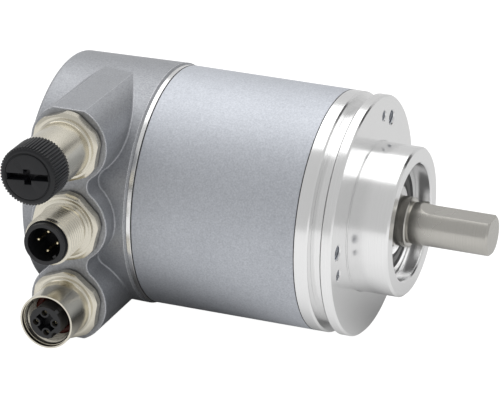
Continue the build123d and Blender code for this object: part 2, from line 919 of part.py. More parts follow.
def make_joint_plate():
    spigot = sleeve_inner - slip
    with BuildPart() as plate:
        with BuildSketch(Plane.XY):
            with BuildLine():
                Polyline(
                    (sleeve_back, joint_window),
                    (sleeve_back, spigot - front_spigot_wall),
                    (sleeve_back + front_spigot, spigot - front_spigot_wall),
                    (sleeve_back + front_spigot, spigot),
                    (sleeve_back, spigot),
                    (sleeve_back, body_radius - edge_break / 2),
                    (sleeve_back - edge_break / 2, body_radius),
                    (joint_rim_back, body_radius),
                    (joint_rim_back, joint_spigot_radius),
                    (joint_rim_back - rear_spigot, joint_spigot_radius),
                    (joint_rim_back - rear_spigot, joint_spigot_inner),
                    (joint_web_back, joint_spigot_inner),
                    (joint_web_back, joint_window),
                    close=True,
                )
            make_face()
            with Locations((joint_seal_middle, joint_spigot_radius - seal_depth / 2)):
                Rectangle(seal_width, seal_depth, mode=Mode.SUBTRACT)
        revolve(axis=Axis.X)
        with BuildSketch(across(joint_web_back)):
            for angle in rod_angles:
                with Locations(polar(rod_circle_radius, angle)):
                    Circle(rod_screw_radius + slip)
            for angle in housing_screw_angles:
                with Locations(polar(housing_screw_circle, angle)):
                    Circle(housing_screw_radius + slip)
            for y, z in interface_places:
                with Locations((y, z)):
                    Circle(interface_screw_radius + slip)
        extrude(amount=joint_web + play, mode=Mode.SUBTRACT)
    save(plate, "joint_plate")


make_joint_plate()

with BuildPart() as joint_screws:
    for angle in rod_angles:
        with BuildSketch(across(joint_web_back)):
            with Locations(polar(rod_circle_radius, angle)):
                Circle(rod_screw_head)
        extrude(amount=-rod_head_height)
        with BuildSketch(across(joint_web_back)):
            with Locations(polar(rod_circle_radius, angle)):
                Circle(rod_screw_radius)
        extrude(amount=joint_web + rod_screw_length - play)
save(joint_screws, "joint_plate_screws")


# Rear housing: tapered drum, three joined bosses with a flat top, pockets, screw posts and port bores

def boss_outline():
    """Three circles joined by tangent necks, cut off level with the drum's crown."""
    reach = boss_radius + boss_neck_radius
    side = math.sqrt(reach ** 2 - (port_pitch / 2) ** 2)
    for height in port_heights.values():
        with Locations((0, height)):
            Circle(boss_radius)
    for middle in (port_pitch / 2, -port_pitch / 2):
        with Locations((0, middle)):
            Polygon((0, -port_pitch / 2), (side, 0), (0, port_pitch / 2), (-side, 0), align=None)
            with Locations((side, 0), (-side, 0)):
                Circle(boss_neck_radius, mode=Mode.SUBTRACT)
    Rectangle(4 * boss_radius, 2 * boss_flat_height, mode=Mode.INTERSECT)


def make_rear_housing():
    inner_front = drum_front_radius - drum_wall
    inner_back = drum_back_radius - drum_wall
    pocket_height = boss_flat_height - boss_wall
    pocket_radius = boss_radius - boss_wall
    with BuildPart() as housing:
        with BuildSketch(Plane.XY):
            with BuildLine():
                Polyline(
                    (joint_rim_back, 0),
                    (joint_rim_back, drum_front_radius - drum_front_chamfer),
                    (joint_rim_back - drum_front_chamfer, drum_front_radius),
                    (drum_back, drum_back_radius),
                    (drum_back, 0),
                    close=True,
                )
            make_face()
        revolve(axis=Axis.X)
        fillet(housing.faces().sort_by(Axis.X)[0].edges(), drum_back_round)
        with BuildSketch(port_front(0, port_reach)):
            boss_outline()
        extrude(amount=-port_reach)
        plain_edges = (GeomType.LINE, GeomType.CIRCLE)
        root_edges = [edge for edge in housing.edges() if edge.geom_type not in plain_edges]
        fillet(root_edges, boss_root_round)
        chamfer(housing.faces().sort_by(Axis.Y)[0].outer_wire().edges(), boss_edge)
        with BuildSketch(Plane.XY):
            with BuildLine():
                Polyline(
                    (joint_rim_back, 0),
                    (joint_rim_back, inner_front),
                    (joint_rim_back - rear_spigot - play, inner_front),
                    (drum_floor, inner_back),
                    (drum_floor, 0),
                    close=True,
                )
            make_face()
        revolve(axis=Axis.X, mode=Mode.SUBTRACT)
        with BuildSketch(port_front(0, port_reach - port_wall)):
            for height in port_heights.values():
                with Locations((0, height)):
                    Circle(pocket_radius)
            Rectangle(4 * boss_radius, 2 * pocket_height, mode=Mode.INTERSECT)
        extrude(amount=-(port_reach - port_wall), mode=Mode.SUBTRACT)
        with BuildSketch(across(drum_floor)):
            for angle in housing_screw_angles:
                with Locations(polar(housing_screw_circle, angle)):
                    Circle(housing_post_radius)
        extrude(amount=joint_web_back - drum_floor)
        with BuildSketch(port_front(0, port_reach)):
            for height in port_heights.values():
                with Locations((0, height)):
                    Circle(housing_bore)
        extrude(amount=-port_wall, mode=Mode.SUBTRACT)
        with BuildSketch(across(drum_back)):
            for angle in housing_screw_angles:
                with Locations(polar(housing_screw_circle, angle)):
                    Circle(housing_screw_radius + slip)
        extrude(amount=drum_length, mode=Mode.SUBTRACT)
        with BuildSketch(across(drum_back)):
            for angle in housing_screw_angles:
                with Locations(polar(housing_screw_circle, angle)):
                    Circle(housing_screw_head + play)
        extrude(amount=housing_screw_head_height + play, mode=Mode.SUBTRACT)
    save(housing, "rear_housing")


make_rear_housing()

with BuildPart() as housing_screws:
    head_back = drum_back + play
    head_front = head_back + housing_screw_head_height
    for angle in housing_screw_angles:
        with BuildSketch(across(head_back)):
            with Locations(polar(housing_screw_circle, angle)):
                Circle(housing_screw_head)
        extrude(amount=housing_screw_head_height)
        with BuildSketch(across(head_back)):
            with Locations(polar(housing_screw_circle, angle)):
                RegularPolygon(housing_screw_socket_apothem, 6, major_radius=False)
        extrude(amount=housing_screw_socket_depth, mode=Mode.SUBTRACT)
        with BuildSketch(across(head_front)):
            with Locations(polar(housing_screw_circle, angle)):
                Circle(housing_screw_radius)
        extrude(amount=sleeve_back - play - head_front)
save(housing_screws, "rear_housing_screws")


# Port shells: a chamfered hexagon on a threaded shank, with a socket barrel or a threaded plug barrel

def hexagon_waste(angle):
    """What has to go from the turned flange to leave a hexagon with rounded corners."""
    Circle(hex_round_radius + play)
    RegularPolygon(hex_apothem, 6, major_radius=False, rotation=angle, mode=Mode.SUBTRACT)


def flange_profile(bore):
    return [
        (port_reach - port_wall, bore),
        (port_reach - port_wall, thread_shank_radius),
        (seat, thread_shank_radius),
        (seat, hex_round_radius),
        (hex_front - hex_chamfer, hex_round_radius),
        (hex_front, hex_round_radius - 2 * hex_chamfer),
        (hex_front, barrel_foot_radius),
    ]


def make_socket_shell(name, extra, mouth):
    """Socket barrel; an open one has a wider mouth in front of its thread."""
    height = port_heights[name]
    end = port_reach + socket_length + extra
    floor = seat + socket_floor
    start = end - mouth
    wide = mouth_radius if mouth > 0 else thread_bore_radius + barrel_lip
    profile = flange_profile(insert_seat_radius) + [
        (hex_front + barrel_foot, barrel_foot_radius),
        (hex_front + 2 * barrel_foot, barrel_radius),
        (end - barrel_lip, barrel_radius),
        (end, barrel_radius - barrel_lip),
        (end, wide),
    ]
    if mouth > 0:
        profile += [(start, wide), (start, thread_bore_radius + barrel_lip)]
    profile += [
        (start - barrel_lip, thread_bore_radius),
        (floor, thread_bore_radius),
        (floor, insert_seat_radius),
    ]
    with BuildPart() as shell:
        with BuildSketch(port_side(height)):
            with BuildLine():
                Polyline(*profile, close=True)
            make_face()
        revolve(axis=port_axis(height))
        with BuildSketch(port_front(height, seat)):
            hexagon_waste(hex_angles[name])
        extrude(amount=hex_thickness, mode=Mode.SUBTRACT)
    save(shell, name + "_socket_shell")
    return end, floor


def make_plug_shell(name):
    height = port_heights[name]
    end = port_reach + plug_length
    profile = flange_profile(plug_bore_radius) + [
        (hex_front + barrel_foot, barrel_foot_radius - barrel_foot),
        (hex_front + barrel_foot, plug_thread_radius - plug_undercut),
        (hex_front + plug_undercut_length, plug_thread_radius - plug_undercut),
        (hex_front + plug_undercut_length, plug_thread_radius),
        (end - plug_thread_chamfer, plug_thread_radius),
        (end, plug_thread_radius - plug_thread_chamfer),
        (end, plug_bore_radius),
    ]
    with BuildPart() as shell:
        with BuildSketch(port_side(height)):
            with BuildLine():
                Polyline(*profile, close=True)
            make_face()
        revolve(axis=port_axis(height))
        with BuildSketch(port_front(height, seat)):
            hexagon_waste(hex_angles[name])
        extrude(amount=hex_thickness, mode=Mode.SUBTRACT)
    save(shell, name + "_plug_shell")
    return end


# Inserts and contacts

def contact_spots(name):
    return PolarLocations(contact_pitch_radius, contact_count, start_angle=contact_turn[name])


def make_socket_insert(name, end, floor, with_rib):
    """Black core with four sleeved holes, a cross of recesses, a notch and perhaps a key rib."""
    height = port_heights[name]
    face = end + core_reach[name]
    tail = port_reach - port_wall - insert_tail
    body = insert_seat_radius - slip
    with BuildPart() as insert:
        with BuildSketch(port_side(height)):
            with BuildLine():
                Polyline(
                    (tail, 0),
                    (tail, insert_core_radius),
                    (port_reach - port_wall - insert_flange_depth, insert_core_radius),
                    (port_reach - port_wall - insert_flange_depth, insert_flange_radius),
                    (port_reach - port_wall - slip, insert_flange_radius),
                    (port_reach - port_wall - slip, body),
                    (floor, body),
                    (floor, insert_core_radius),
                    (face, insert_core_radius),
                    (face, 0),
                    close=True,
                )
            make_face()
        revolve(axis=port_axis(height))
        with BuildSketch(port_front(height, face)):
            Rectangle(2 * contact_pitch_radius, key_width)
            Rectangle(key_width, 2 * contact_pitch_radius)
            with Locations(Rotation(0, 0, 45)):
                Rectangle(2 * contact_pitch_radius, 2 * key_width)
                Rectangle(2 * key_width, 2 * contact_pitch_radius)
            with contact_spots(name):
                Circle(sleeve_collar_radius, mode=Mode.SUBTRACT)
            with Locations(polar(insert_core_radius, socket_notch_angle)):
                Circle(key_width)
        extrude(amount=-face_recess, mode=Mode.SUBTRACT)
        with BuildSketch(port_front(height, face)):
            with contact_spots(name):
                Circle(sleeve_hole_radius)
        extrude(amount=tail - face, mode=Mode.SUBTRACT)
        if with_rib:
            with BuildSketch(port_front(height, face)):
                with Locations(Location(polar(insert_core_radius, socket_key_angle), socket_key_angle)):
                    Rectangle(2 * socket_key_height, key_width)
            extrude(amount=-(face - floor - inner_seal_length - play))
    save(insert, name + "_socket_insert")
    return face


def make_plug_insert(name, end):
    """Black lining with a nose, a deep cavity round the pins and a key rib on its wall."""
    height = port_heights[name]
    face = end + plug_nose_length
    cavity = face - plug_cavity_depth
    tail = port_reach - port_wall - insert_tail
    body = plug_bore_radius - slip
    with BuildPart() as insert:
        with BuildSketch(port_side(height)):
            with BuildLine():
                Polyline(
                    (tail, 0),
                    (tail, insert_core_radius),
                    (port_reach - port_wall - insert_flange_depth, insert_core_radius),
                    (port_reach - port_wall - insert_flange_depth, insert_flange_radius),
                    (port_reach - port_wall - slip, insert_flange_radius),
                    (port_reach - port_wall - slip, body),
                    (end - slip, body),
                    (end - slip, plug_nose_radius),
                    (face, plug_nose_radius),
                    (face, plug_cavity_radius),
                    (cavity, plug_cavity_radius),
                    (cavity, 0),
                    close=True,
                )
            make_face()
        revolve(axis=port_axis(height))
        with BuildSketch(port_front(height, cavity)):
            with contact_spots(name):
                Circle(contact_radius + slip)
        extrude(amount=tail - cavity, mode=Mode.SUBTRACT)
        with BuildSketch(port_front(height, cavity)):
            with Locations(Location(polar(plug_cavity_radius, key_angle), key_angle)):
                Rectangle(2 * key_height, key_width)
        extrude(amount=face - key_inset - cavity)
    save(insert, name + "_plug_insert")
    return face


def contact_set(name, tip):
    """Four contacts from near the port's face to just behind the port board."""
    with BuildPart() as contacts:
        with BuildSketch(port_front(port_heights[name], contact_end)):
            with contact_spots(name):
                Circle(contact_radius)
        extrude(amount=tip - contact_end)
    return contacts


upper_end, upper_floor = make_socket_shell("upper", capped_socket_extra, 0.0)
lower_end, lower_floor = make_socket_shell("lower", 0.0, mouth_depth)
middle_end = make_plug_shell("middle")
upper_face = make_socket_insert("upper", upper_end, upper_floor, False)
lower_face = make_socket_insert("lower", lower_end, lower_floor, True)
middle_face = make_plug_insert("middle", middle_end)
save(contact_set("middle", middle_face - plug_contact_recess), "middle_plug_pins")

with BuildPart() as socket_contacts:
    for name, face in (("upper", upper_face), ("lower", lower_face)):
        add(contact_set(name, face - contact_recess).part)
        with BuildSketch(port_front(port_heights[name], face - contact_recess)):
            with contact_spots(name):
                Circle(contact_mouth_radius)
        extrude(amount=-contact_mouth_depth, mode=Mode.SUBTRACT)
save(socket_contacts, "socket_contacts")

with BuildPart() as gaskets:
    for height in port_heights.values():
        with BuildSketch(port_front(height, port_reach)):
            Circle(thread_shank_radius + slip + gasket_width)
            Circle(thread_shank_radius + slip, mode=Mode.SUBTRACT)
        extrude(amount=gasket_thickness)
save(gaskets, "port_gaskets")

with BuildPart() as inner_seals:
    middle_radius = (insert_core_radius + thread_bore_radius) / 2
    seal_thickness = thread_bore_radius - insert_core_radius - 2 * fit
    for height, floor in ((port_heights["upper"], upper_floor), (port_heights["lower"], lower_floor)):
        with BuildSketch(port_side(height)):
            with Locations((floor + fit + inner_seal_length / 2, middle_radius)):
                RectangleRounded(inner_seal_length, seal_thickness, inner_seal_round)
        revolve(axis=port_axis(height))
save(inner_seals, "socket_inner_seals")


# Dust cap on the upper socket, and the sealing ring that travels with it

def make_dust_cap():
    height = port_heights["upper"]
    back = upper_end + cap_gap
    front = back + cap_length
    root = cap_radius - cap_rib_height
    groove = cap_seal_section * 2 - cap_gap + 2 * slip
    seal_radius = cap_plug_radius + cap_seal_section + cap_seal_space
    profile = [
        (back - cap_plug_length, cap_plug_radius - cap_plug_wall),
        (back - cap_plug_length, cap_plug_radius),
        (back, cap_plug_radius),
        (back, seal_radius - cap_seal_section - slip),
        (back + groove, seal_radius - cap_seal_section - slip),
        (back + groove, seal_radius + cap_seal_section + slip),
        (back, seal_radius + cap_seal_section + slip),
        (back, root - slip),
        (back + slip, root),
        (front - cap_face_step, root),
        (front, root - cap_face_step),
        (front, 0),
        (upper_end + slip, 0),
        (upper_end + slip, cap_plug_radius - cap_plug_wall),
    ]
    ring_outer = cap_face_ring_radius + cap_face_ring_width / 2
    ring_inner = cap_face_ring_radius - cap_face_ring_width / 2
    with BuildPart() as cap:
        with BuildSketch(port_side(height)):
            with BuildLine():
                Polyline(*profile, close=True)
            make_face()
        revolve(axis=port_axis(height))
        with BuildSketch(port_front(height, back)):
            with PolarLocations(root - slip, cap_rib_count):
                rib_width = math.pi * root / cap_rib_count
                Rectangle(cap_rib_height + slip, rib_width, align=(Align.MIN, Align.CENTER))
        extrude(amount=cap_length - cap_face_step)
        with BuildSketch(port_front(height, front)):
            Circle(ring_outer)
            Circle(ring_inner, mode=Mode.SUBTRACT)
        extrude(amount=-cap_face_step / 2, mode=Mode.SUBTRACT)
        with BuildSketch(port_front(height, front)):
            with Locations(Rotation(0, 0, cap_slot_angle)):
                Rectangle(cap_slot_length, cap_slot_width)
                Rectangle(cap_cross_width, cap_cross_length)
        extrude(amount=-cap_slot_depth, mode=Mode.SUBTRACT)
    save(cap, "dust_cap")
    with BuildPart() as seal:
        with Locations(port_front(height, upper_end + cap_seal_section + fit)):
            Torus(seal_radius, cap_seal_section)
    save(seal, "cap_seal_ring")


make_dust_cap()


# Boards in the rear housing

def make_interface_board():
    with BuildPart() as board:
        with BuildSketch(across(interface_back)):
            Circle(interface_radius)
            with Locations((interface_radius / 2 - interface_cut / 2, 0)):
                Rectangle(interface_radius + interface_cut, 2 * interface_radius, mode=Mode.INTERSECT)
            for angle in housing_screw_angles:
                with Locations(polar(housing_screw_circle, angle)):
                    Circle(housing_post_radius + play, mode=Mode.SUBTRACT)
            for y, z in interface_places:
                with Locations((y, z)):
                    Circle(interface_screw_radius + slip, mode=Mode.SUBTRACT)
        extrude(amount=board_thickness)
    save(board, "interface_board")


make_interface_board()

with BuildPart() as interface_screws:
    with BuildSketch(across(interface_back)):
        with Locations(*interface_places):
            Circle(rod_screw_head)
    extrude(amount=-rod_head_height)
    with BuildSketch(across(interface_back)):
        with Locations(*interface_places):
            Circle(interface_screw_radius)
    extrude(amount=board_thickness + interface_offset + joint_web - play)
save(interface_screws, "interface_screws")

with BuildPart() as interface_chips:
    with BuildSketch(across(interface_back)):
        with Locations(switch_place):
            Rectangle(switch_size, switch_size)
        with Locations(*phy_places):
            Rectangle(phy_size, phy_size)
    extrude(amount=-package_height)
save(interface_chips, "interface_chips")

with BuildPart() as transformers:
    with BuildSketch(across(interface_back)):
        with Locations(*transformer_places):
            Rectangle(*transformer_size)
    extrude(amount=-transformer_height)
save(transformers, "network_transformers")

with BuildPart() as port_board:
    with BuildSketch(port_front(0, port_board_depth - board_thickness)):
        Rectangle(port_board_width, port_board_height)
        for name, height in port_heights.items():
            with Locations((0, height)):
                with contact_spots(name):
                    Circle(contact_radius + slip, mode=Mode.SUBTRACT)
    extrude(amount=board_thickness)
save(port_board, "port_board")

with BuildPart() as headers:
    header_back = port_x + port_board_width / 2
    with BuildSketch(port_front(0, port_board_depth - board_thickness)):
        with Locations(((interface_back + header_back - header_root) / 2 - port_x, 0)):
            Rectangle(interface_back - header_back + header_root, header_length)
    extrude(amount=-header_height)
    with BuildSketch(across(interface_front)):
        Rectangle(header_height, header_length)
    extrude(amount=main_board_back - interface_front)
save(headers, "board_headers")
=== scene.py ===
"""Looks of the shaft encoder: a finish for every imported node, finer ports, cap, seals and threads,
light and camera."""

import json
import math

import bmesh
import bpy
import numpy as np
from mathutils import Matrix, Vector


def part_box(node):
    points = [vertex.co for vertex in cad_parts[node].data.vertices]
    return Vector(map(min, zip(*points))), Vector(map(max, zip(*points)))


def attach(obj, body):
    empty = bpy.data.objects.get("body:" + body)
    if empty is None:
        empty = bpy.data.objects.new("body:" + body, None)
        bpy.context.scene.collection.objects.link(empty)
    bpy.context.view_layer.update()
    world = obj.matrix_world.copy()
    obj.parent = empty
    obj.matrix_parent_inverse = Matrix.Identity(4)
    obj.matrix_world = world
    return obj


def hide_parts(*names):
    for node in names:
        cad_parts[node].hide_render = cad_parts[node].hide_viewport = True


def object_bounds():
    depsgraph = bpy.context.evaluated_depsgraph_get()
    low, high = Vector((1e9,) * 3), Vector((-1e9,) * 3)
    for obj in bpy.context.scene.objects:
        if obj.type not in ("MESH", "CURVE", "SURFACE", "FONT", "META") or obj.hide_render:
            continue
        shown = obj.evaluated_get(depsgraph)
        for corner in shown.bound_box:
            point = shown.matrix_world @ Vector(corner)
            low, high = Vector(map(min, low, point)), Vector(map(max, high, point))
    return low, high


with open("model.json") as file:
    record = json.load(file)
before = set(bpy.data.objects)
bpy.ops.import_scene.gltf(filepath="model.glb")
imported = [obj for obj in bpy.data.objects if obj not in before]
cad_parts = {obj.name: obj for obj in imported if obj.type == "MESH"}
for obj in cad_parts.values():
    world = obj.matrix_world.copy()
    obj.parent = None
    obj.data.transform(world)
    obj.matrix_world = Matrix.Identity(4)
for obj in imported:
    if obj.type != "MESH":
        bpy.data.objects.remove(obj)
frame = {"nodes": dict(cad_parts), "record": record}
cad_low, cad_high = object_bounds()
nodes = frame["nodes"]
mm = 0.001
full_turn = 2 * math.pi


def box(name):
    """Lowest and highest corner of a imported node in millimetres."""
    low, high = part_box(name)
    return np.array(low) / mm, np.array(high) / mm


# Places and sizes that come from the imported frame, in millimetres

cap_low, cap_high = box("dust_cap")
port_x = (cap_low[0] + cap_high[0]) / 2
port_heights = {}
port_ends = {}
for port, shell in (
    ("upper", "upper_socket_shell"),
    ("middle", "middle_plug_shell"),
    ("lower", "lower_socket_shell"),
):
    shell_low, shell_high = box(shell)
    port_heights[port] = (shell_low[2] + shell_high[2]) / 2
    port_ends[port] = -shell_low[1]
shell_back = -box("lower_socket_shell")[1][1]
seat = -box("port_gaskets")[0][1]
cap_front = -cap_low[1]

# Sizes of the ports, in millimetres

hexagon_apothem = 8.1
hexagon_round = 8.57
hexagon_thickness = 2.4
hexagon_chamfer = 0.45
hexagon_turn = {"upper": 50.0, "middle": 46.0, "lower": 52.0}
shank_radius = 6.4
foot_radius = 7.1
foot_height = 0.4
barrel_radius = 6.6
seat_bore = 4.3
socket_floor = 4.0
mouth_radius = 6.17
mouth_depth = 1.1
pitch = 1.0
thread_major = 6.0
thread_minor = 5.459
thread_bore = 5.45
plug_bore = 5.4
undercut_length = 1.0
contact_pitch = 2.45
contact_turn = -2.0
pin_radius = 0.5
pin_dome = 0.6

# Sizes of the dust cap, in millimetres, and its number of ribs

cap_root = 6.72
cap_rib = 0.4
cap_ribs = 56
cap_disc = 5.4
cap_disc_round = 0.2
cap_step = 0.1
cap_trough = 0.3
slot_length = 10.2
slot_width = 1.55
cross_length = 3.6
cross_width = 1.75
slot_turn = 5.5
slot_depth = 3.0
cap_length = 7.9
cap_plug = 5.3
cap_plug_wall = 0.8
cap_plug_thread = 5.85
seal_inner = 5.48
seal_outer = 6.36

# Sizes of the bearings, the sleeve's joints and the flange, in millimetres. A set of screw holes has
# its radius, depth of thread, pitch and the angle of its first hole in degrees

bearing_width = 8.0
shield_thickness = 0.5
# The joint sizes are those of the dark bands of painted shade at the sleeve's joints
joint_half_width = 0.09
joint_depth = 0.4
joint_proud = 0.01
pilot_radius = 18.0
pilot_root_round = 0.22
screw_circle = 24.0
screw_holes = ((1.65, 0.14, 0.7, 61.0), (1.25, 0.11, 0.5, 75.5))
screw_thread_front = -0.25
screw_thread_back = -6.6

hexagon_front = seat + hexagon_thickness

# Steps of a full turn, angle in degrees above which an edge is sharp, and the distance in metres
# within which points are merged

round_steps = 240
sharp_angle = 38.0
merge_distance = 2e-6


# Meshes

def make_piece(name, grids, body, slot, replaced=()):
    """Joins grids of points, rows by columns, into one mesh and merges doubles, which closes the
    seam between the first and last column. A grid given with True closes its rows too."""
    points = []
    faces = []
    start = 0
    for grid, closed in grids:
        rows, columns = grid.shape[:2]
        row = np.arange(rows if closed else rows - 1)[:, None]
        column = np.arange(columns - 1)[None, :]
        below = (row + 1) % rows
        corners = [
            row * columns + column,
            row * columns + column + 1,
            below * columns + column + 1,
            below * columns + column,
        ]
        faces.append(np.stack(corners, axis=-1).reshape(-1, 4) + start)
        points.append(grid.reshape(-1, 3) * mm)
        start += rows * columns
    mesh = bpy.data.meshes.new(name)
    mesh.from_pydata(np.concatenate(points).tolist(), [], np.concatenate(faces).tolist())
    work = bmesh.new()
    work.from_mesh(mesh)
    bmesh.ops.remove_doubles(work, verts=work.verts, dist=merge_distance)
    bmesh.ops.recalc_face_normals(work, faces=work.faces)
    work.to_mesh(mesh)
    work.free()
    mesh.polygons.foreach_set("use_smooth", [True] * len(mesh.polygons))
    mesh.set_sharp_from_angle(angle=math.radians(sharp_angle))
    piece = bpy.data.objects.new(name, mesh)
    bpy.context.scene.collection.objects.link(piece)
    piece.data.materials.append(finishes[slot])
    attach(piece, body)
    if replaced:
        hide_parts(*replaced)
    return piece


def profile_grid(rows, columns):
    """Rows of (distance along the axis, radius), each a number or one value per column."""
    return np.array([[np.broadcast_to(value, columns) for value in row] for row in rows])


def soften(rows, size, columns, closed=True):
    """Rounds every corner of a profile: a parabola of four points from a place before the corner to
    one after it, each at most that size or 0.4 of the way to the next corner."""
    corner = profile_grid(rows, columns)
    before = np.roll(corner, 1, axis=0)
    after = np.roll(corner, -1, axis=0)
    reach_before = np.maximum(np.hypot(*np.moveaxis(before - corner, 1, 0)), 1e-6)[:, None]
    reach_after = np.maximum(np.hypot(*np.moveaxis(after - corner, 1, 0)), 1e-6)[:, None]
    start = corner + (before - corner) * np.minimum(size / reach_before, 0.4)
    end = corner + (after - corner) * np.minimum(size / reach_after, 0.4)
    share = np.linspace(0, 1, 4)[:, None, None, None]
    arc = (1 - share) ** 2 * start + 2 * share * (1 - share) * corner + share ** 2 * end
    rounded = np.moveaxis(arc, 0, 1)
    if closed:
        return rounded.reshape(-1, 2, columns)
    middle = rounded[1:-1].reshape(-1, 2, columns)
    return np.concatenate([corner[:1], middle, corner[-1:]])


def round_port(profile, turn, height):
    """Carries a profile round a port's axis: out along -Y by its distance, and its radius at each
    turn."""
    along = profile[:, 0]
    radius = profile[:, 1]
    return np.stack([port_x + radius * np.cos(turn), -along, height + radius * np.sin(turn)], axis=-1)


def round_shaft(profile, turn, centre=(0.0, 0.0)):
    """Carries a profile round an axis along X through that (y, z)."""
    along = profile[:, 0]
    radius = profile[:, 1]
    return np.stack([along, centre[0] + radius * np.cos(turn), centre[1] + radius * np.sin(turn)], axis=-1)


def thread_rows(turn, start, end, root, crest, runout, slopes, lead=pitch):
    """Right-hand thread of 60 degree flanks: each row keeps one place in the thread's section, a
    quarter of the pitch for the root and an eighth for the crest, and climbs one pitch a turn. The
    ends fade to the run-out radius at those slopes."""
    side = math.copysign(1.0, crest - root)
    rows = []
    for number in range(math.floor(start / lead) - 1, math.ceil(end / lead) + 1):
        for share, radius in ((0.0, root), (0.25, root), (0.5625, crest), (0.6875, crest)):
            along = np.clip(lead * (number + share + turn / full_turn), start, end)
            fade = np.minimum((along - start) * slopes[0], (end - along) * slopes[1])
            rows.append((along, runout + side * np.minimum(side * (radius - runout), fade)))
    return rows


def hexagon_rows(port, turn):
    """Wrench hexagon: its flats are apothem / cos(angle from the flat), cut to a circle at the
    corners and to a cone in front."""
    flat = np.mod(turn - math.radians(hexagon_turn[port]) + math.pi / 6, math.pi / 3) - math.pi / 6
    radius = np.minimum(hexagon_apothem / np.cos(flat), hexagon_round)
    edge = hexagon_front - hexagon_chamfer + (hexagon_round - radius) / 2
    return [
        (seat, radius - 0.1),
        (seat + 0.1, radius),
        (edge - 0.05, radius),
        (edge + 0.06, radius - 0.1),
        (hexagon_front - 0.03, hexagon_round - 2 * hexagon_chamfer + 0.06),
        (hexagon_front, hexagon_round - 2 * hexagon_chamfer - 0.08),
    ]


def even_turns(count):
    """Angles of a whole turn with both ends, so that a thread's rows meet those a pitch further on."""
    return np.linspace(0, full_turn, count + 1)


def socket_shell(port, replaced):
    """Shank, hexagon, foot and barrel outside, a lip or a wider mouth in front, and the thread
    inside."""
    turn = even_turns(round_steps)
    end = port_ends[port]
    floor = seat + socket_floor
    outside = [
        (shell_back, seat_bore),
        (shell_back, shank_radius),
        (seat, shank_radius),
    ]
    front = [
        (hexagon_front, foot_radius),
        (hexagon_front + 0.1, foot_radius),
        (hexagon_front + 0.2, barrel_radius + 0.22),
        (hexagon_front + foot_height, barrel_radius + 0.05),
        (hexagon_front + 2 * foot_height, barrel_radius),
        (end - 0.06, barrel_radius),
        (end, barrel_radius - 0.06),
    ]
    if port == "lower":
        start = end - mouth_depth
        front += [(end, mouth_radius + 0.05), (end - 0.05, mouth_radius), (start, mouth_radius)]
    else:
        start = end - 0.12
        front += [(end, barrel_radius - 0.3), (start, barrel_radius - 0.42)]
    front.append((start, thread_major + 0.05))
    inside = thread_rows(
        turn, floor + 0.4, start - 0.08, thread_major, thread_bore, thread_major + 0.02, (1.5, 0.8)
    )
    floor_rows = [(floor, thread_major), (floor, seat_bore)]
    count = len(turn)
    profile = np.concatenate([
        profile_grid(outside, count),
        profile_grid(hexagon_rows(port, turn), count),
        soften(front, 0.04, count, closed=False),
        profile_grid(inside[::-1], count),
        profile_grid(floor_rows, count),
    ])
    grid = round_port(profile, turn, port_heights[port])
    return make_piece(port + "_threaded_socket", [(grid, True)], "housing", "nickel_plate", [replaced])


def plug_shell(port, replaced):
    """Shank, hexagon, foot, undercut, thread with a chamfered start, and a plain bore."""
    turn = even_turns(round_steps)
    end = port_ends[port]
    start = hexagon_front + undercut_length - 0.25
    outside = [
        (shell_back, plug_bore),
        (shell_back, shank_radius),
        (seat, shank_radius),
    ]
    foot = [
        (hexagon_front, foot_radius),
        (hexagon_front + 0.1, foot_radius),
        (hexagon_front + 0.2, thread_major + 0.3),
        (hexagon_front + foot_height, thread_major + 0.05),
        (hexagon_front + foot_height + 0.15, thread_minor),
        (start, thread_minor),
    ]
    thread = thread_rows(turn, start, end - 0.12, thread_minor, thread_major, thread_minor, (1.2, 1.0))
    mouth = [(end - 0.12, thread_minor + 0.02), (end, thread_minor), (end, plug_bore)]
    count = len(turn)
    profile = np.concatenate([
        profile_grid(outside, count),
        profile_grid(hexagon_rows(port, turn), count),
        soften(foot, 0.04, count, closed=False),
        profile_grid(thread, count),
        profile_grid(mouth, count),
    ])
    grid = round_port(profile, turn, port_heights[port])
    return make_piece(port + "_threaded_plug", [(grid, True)], "housing", "nickel_plate", [replaced])


def rounded_pins(replaced):
    """Four contact pins: a cylinder whose tip is a dome, a quarter ellipse turned round the axis."""
    turn = even_turns(32)
    low, high = box("middle_plug_pins")
    tip = -low[1]
    bend = np.linspace(0, math.pi / 2, 7)
    dome = list(zip(tip - pin_dome + pin_dome * np.cos(bend), pin_radius * np.sin(bend)))
    rows = dome + [(-high[1], pin_radius), (-high[1], 0.0)]
    profile = profile_grid(rows, len(turn))
    grids = []
    for number in range(4):
        angle = math.radians(contact_turn + 90 * number)
        grid = round_port(profile, turn, port_heights["middle"])
        grid = grid + np.array([contact_pitch * math.cos(angle), 0.0, contact_pitch * math.sin(angle)])
        grids.append((grid, False))
    return make_piece("rounded_contact_pins", grids, "housing", "gold_plate", [replaced])


def plus_outline(turn, grow):
    """Radius of the driver slot crossed by a short bar: the larger of two rectangles' polar radii."""
    local = turn - math.radians(slot_turn)
    across = np.maximum(np.abs(np.cos(local)), 1e-9)
    up = np.maximum(np.abs(np.sin(local)), 1e-9)
    slot = np.minimum((slot_length / 2 + grow) / across, (slot_width / 2 + grow) / up)
    cross = np.minimum((cross_width / 2 + grow) / across, (cross_length / 2 + grow) / up)
    return np.maximum(slot, cross)


def cap_turns():
    """Even turns, eight to a rib, and the slot's own corners."""
    corners = []
    for x, z in (
        (slot_length / 2, slot_width / 2),
        (cross_width / 2, slot_width / 2),
        (cross_width / 2, cross_length / 2),
    ):
        angle = math.atan2(z, x)
        corners += [angle, math.pi - angle, math.pi + angle, full_turn - angle]
    corners = np.mod(np.array(corners) + math.radians(slot_turn), full_turn)
    return np.unique(np.concatenate([even_turns(8 * cap_ribs), corners]))


